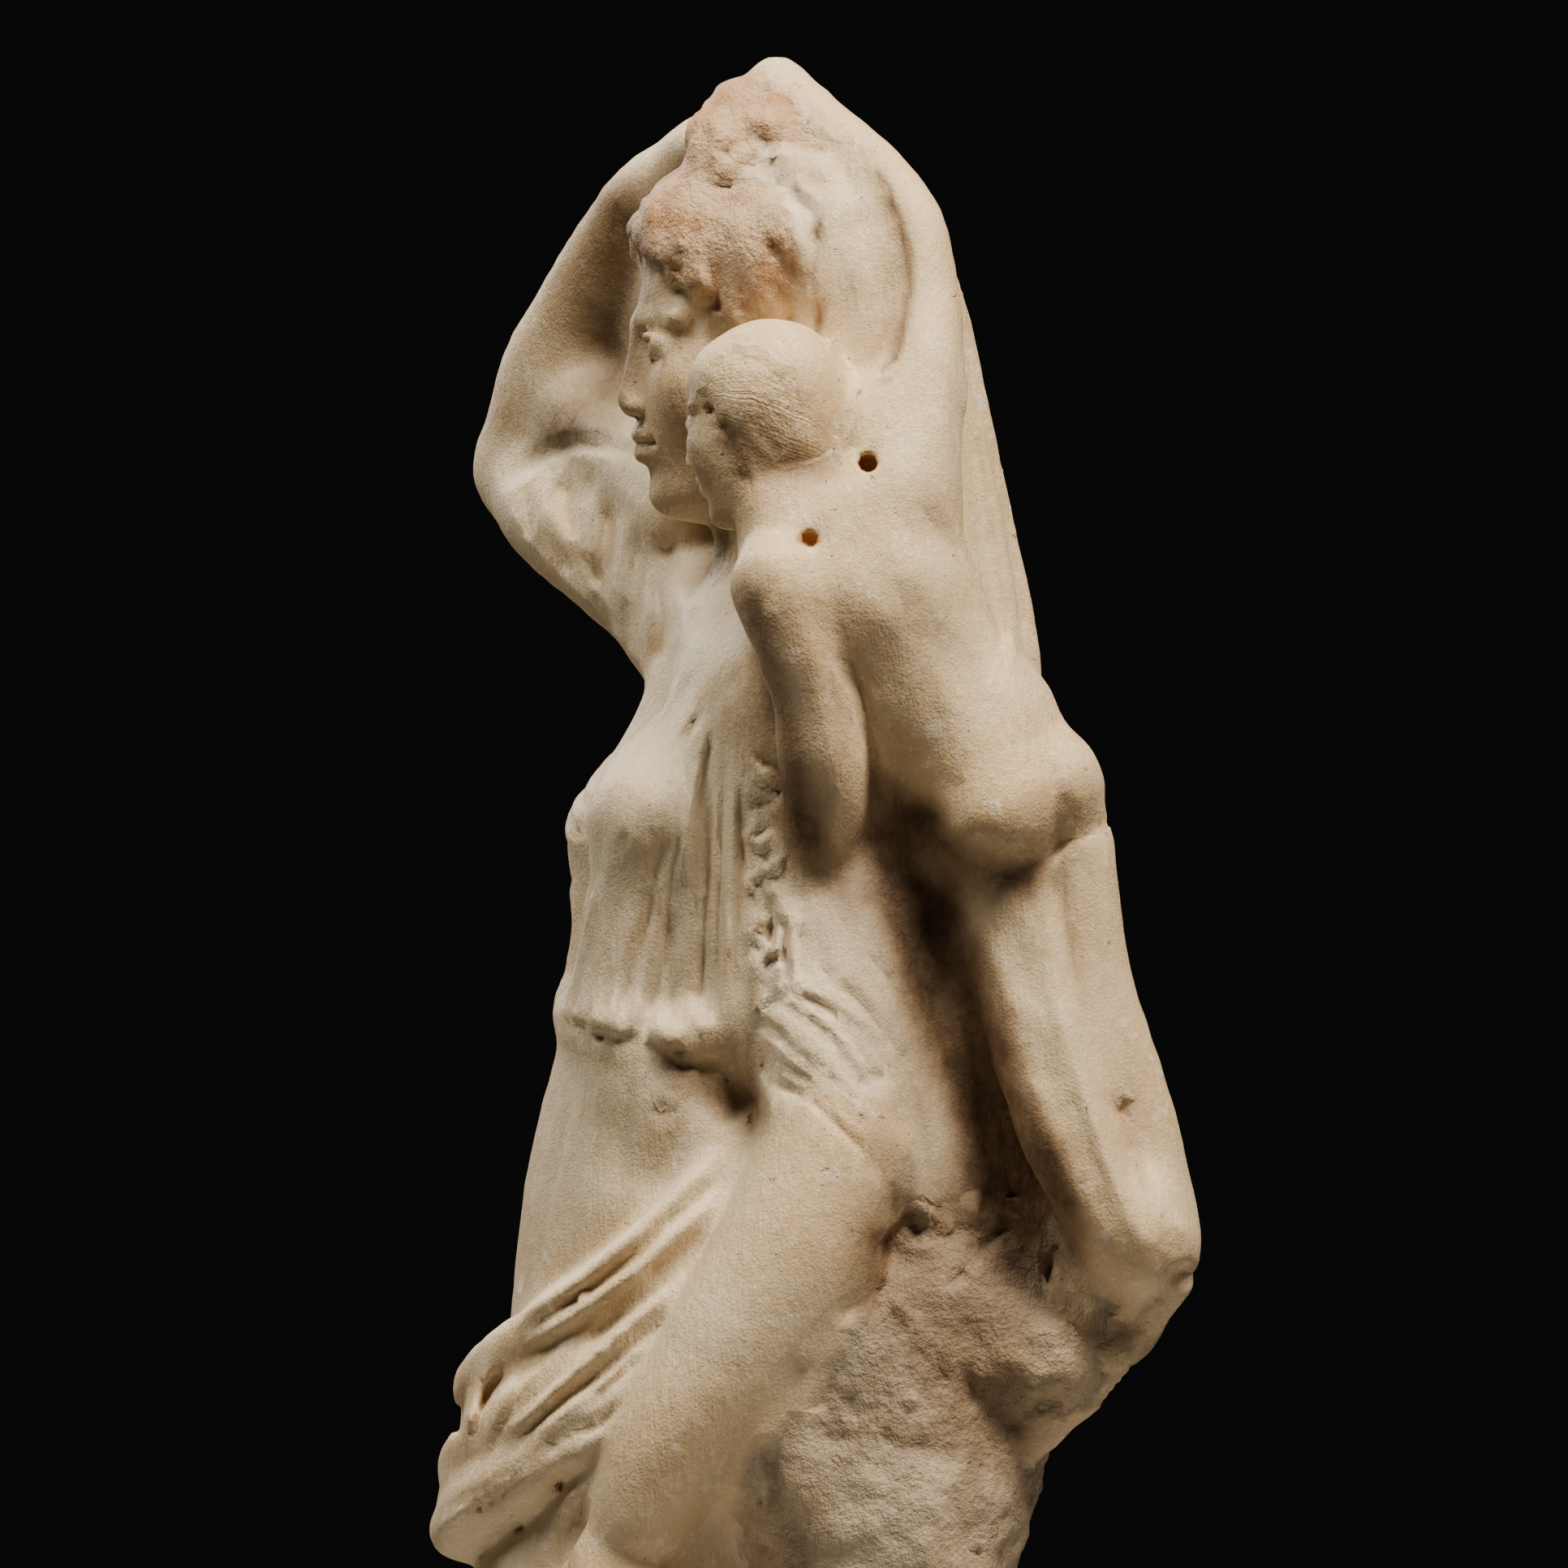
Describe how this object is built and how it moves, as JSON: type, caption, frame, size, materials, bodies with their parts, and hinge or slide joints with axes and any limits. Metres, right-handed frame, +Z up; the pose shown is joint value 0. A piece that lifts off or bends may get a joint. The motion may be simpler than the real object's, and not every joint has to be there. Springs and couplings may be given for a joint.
{
  "type": "aphrodite and eros statue group",
  "caption": "Carved marble group of a draped goddess with one arm raised to her head and a boy at her shoulder who lifts her veil, with a rock support and a low base.",
  "frame": {"origin": "on the flat underside of the base, below the goddess's trunk", "axes": "+Z up, the goddess faces -Y, and her left side, with the boy and the rock, faces +X"},
  "size_m": [0.2157, 0.1885, 0.6415],
  "materials": {
    "marble": "weathered fine-grained marble, satin to matte, with brown patina in the hollows"
  },
  "bodies": {
    "root": {"statue_group": "marble"}
  },
  "joints": []
}
